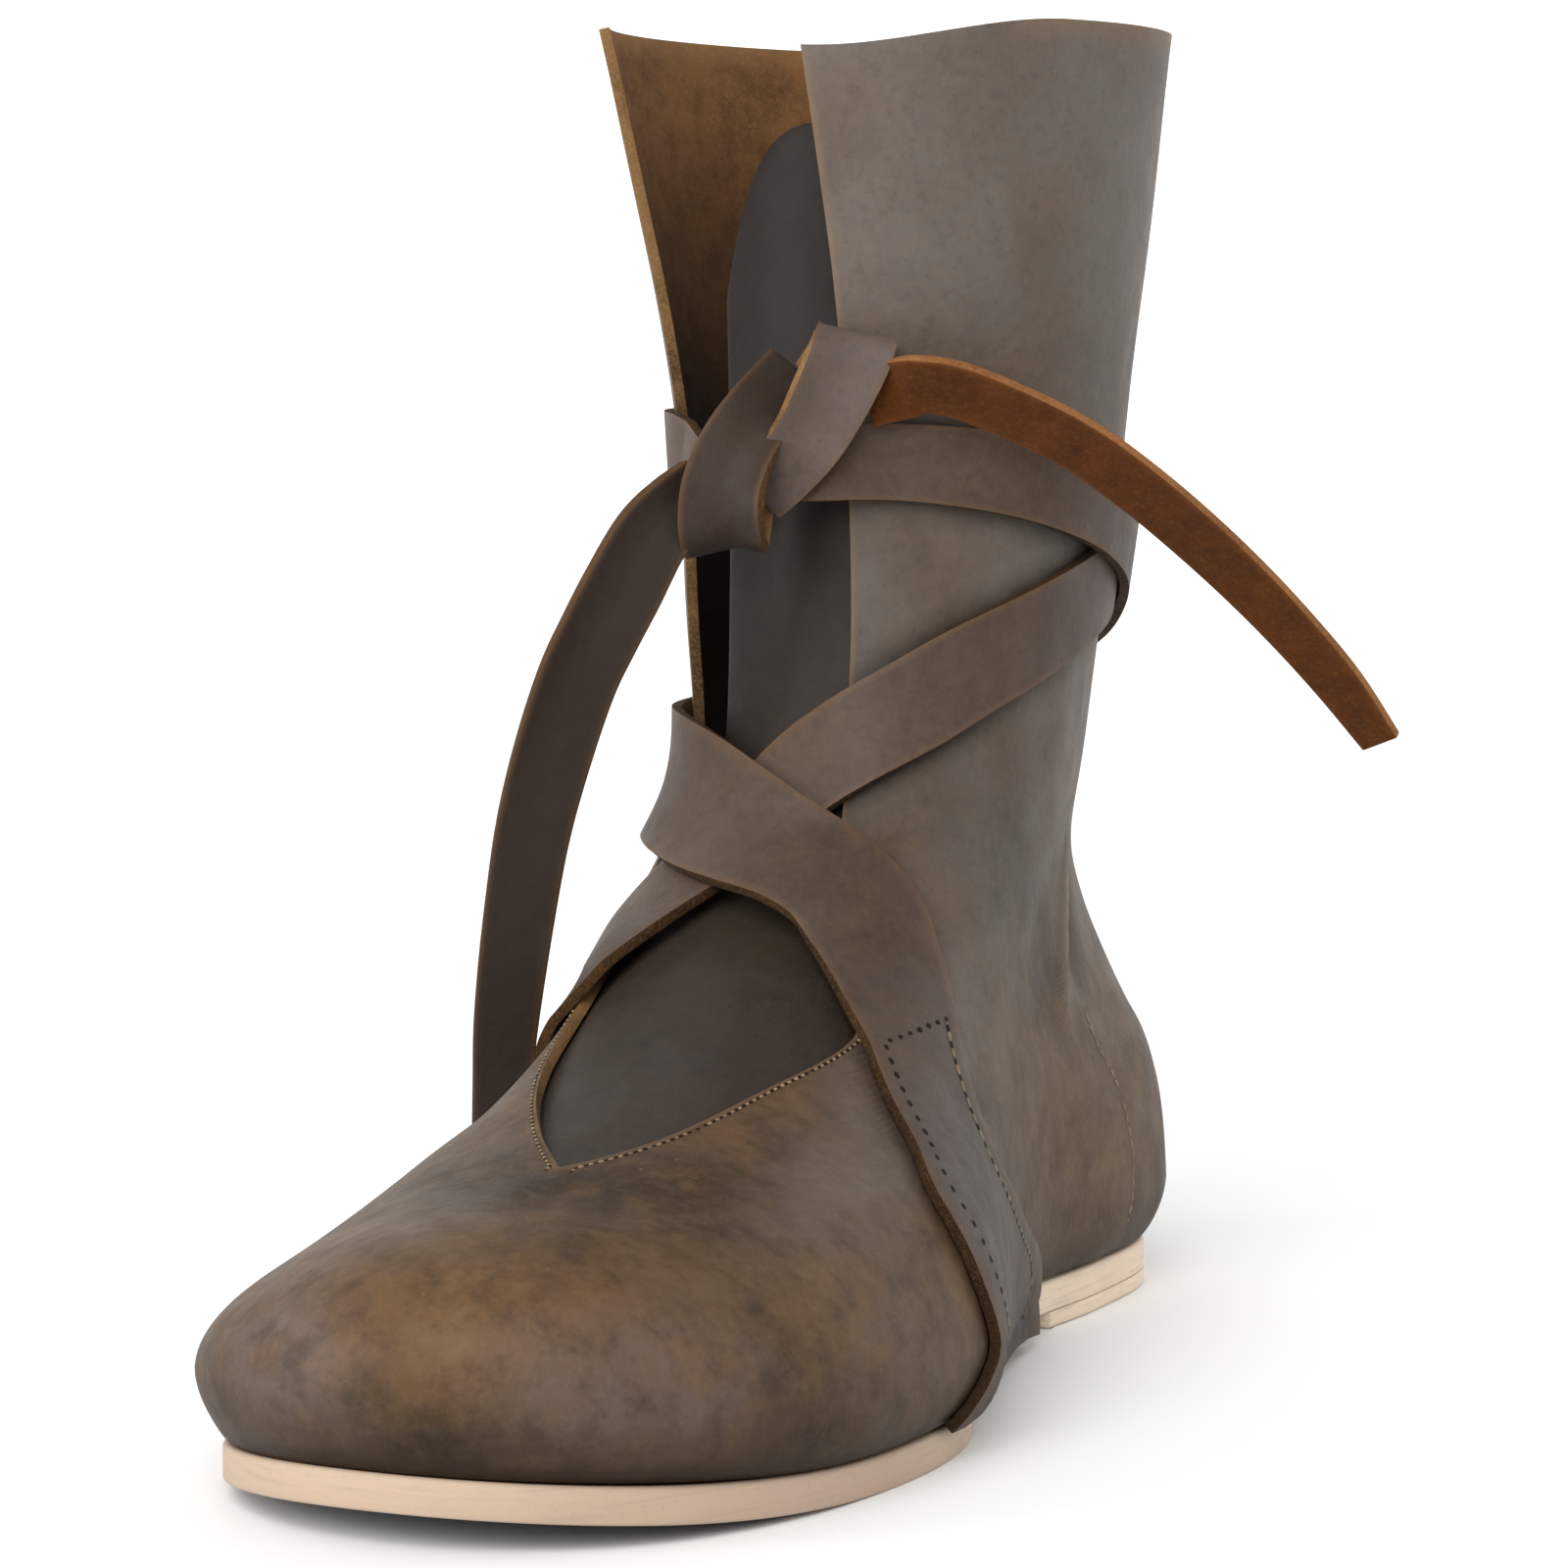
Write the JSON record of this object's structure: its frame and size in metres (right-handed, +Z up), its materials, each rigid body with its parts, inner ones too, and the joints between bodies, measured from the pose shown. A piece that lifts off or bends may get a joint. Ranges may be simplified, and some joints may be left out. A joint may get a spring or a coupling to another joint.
{
  "type": "medieval boot",
  "caption": "Low medieval leather boot for the left foot, round toe, open front over a tongue, wrapped and tied with long straps, on a flat natural leather sole with a low heel lift.",
  "frame": {"origin": "on the floor under the middle of the heel", "axes": "+Z up, toe towards -Y, outer (lateral) side of the left foot towards +X"},
  "size_m": [0.1532, 0.2959, 0.2442],
  "materials": {
    "upper_leather": "oiled pull-up leather, dark grey-brown, satin",
    "strap_leather": "oiled pull-up leather, suede flesh side, raw tan edges",
    "sole_leather": "natural vegetable tanned leather, matt",
    "insole_leather": "natural leather, darkened by wear, matt"
  },
  "bodies": {
    "root": {"outsole": "sole_leather", "heel_lift": "sole_leather", "insole": "insole_leather", "upper": "upper_leather", "tongue": "upper_leather", "strap_lateral": "strap_leather", "strap_medial": "strap_leather", "knot": "strap_leather", "strap_loop": "strap_leather", "strap_end_inner": "strap_leather", "strap_end_outer": "strap_leather"}
  },
  "joints": []
}
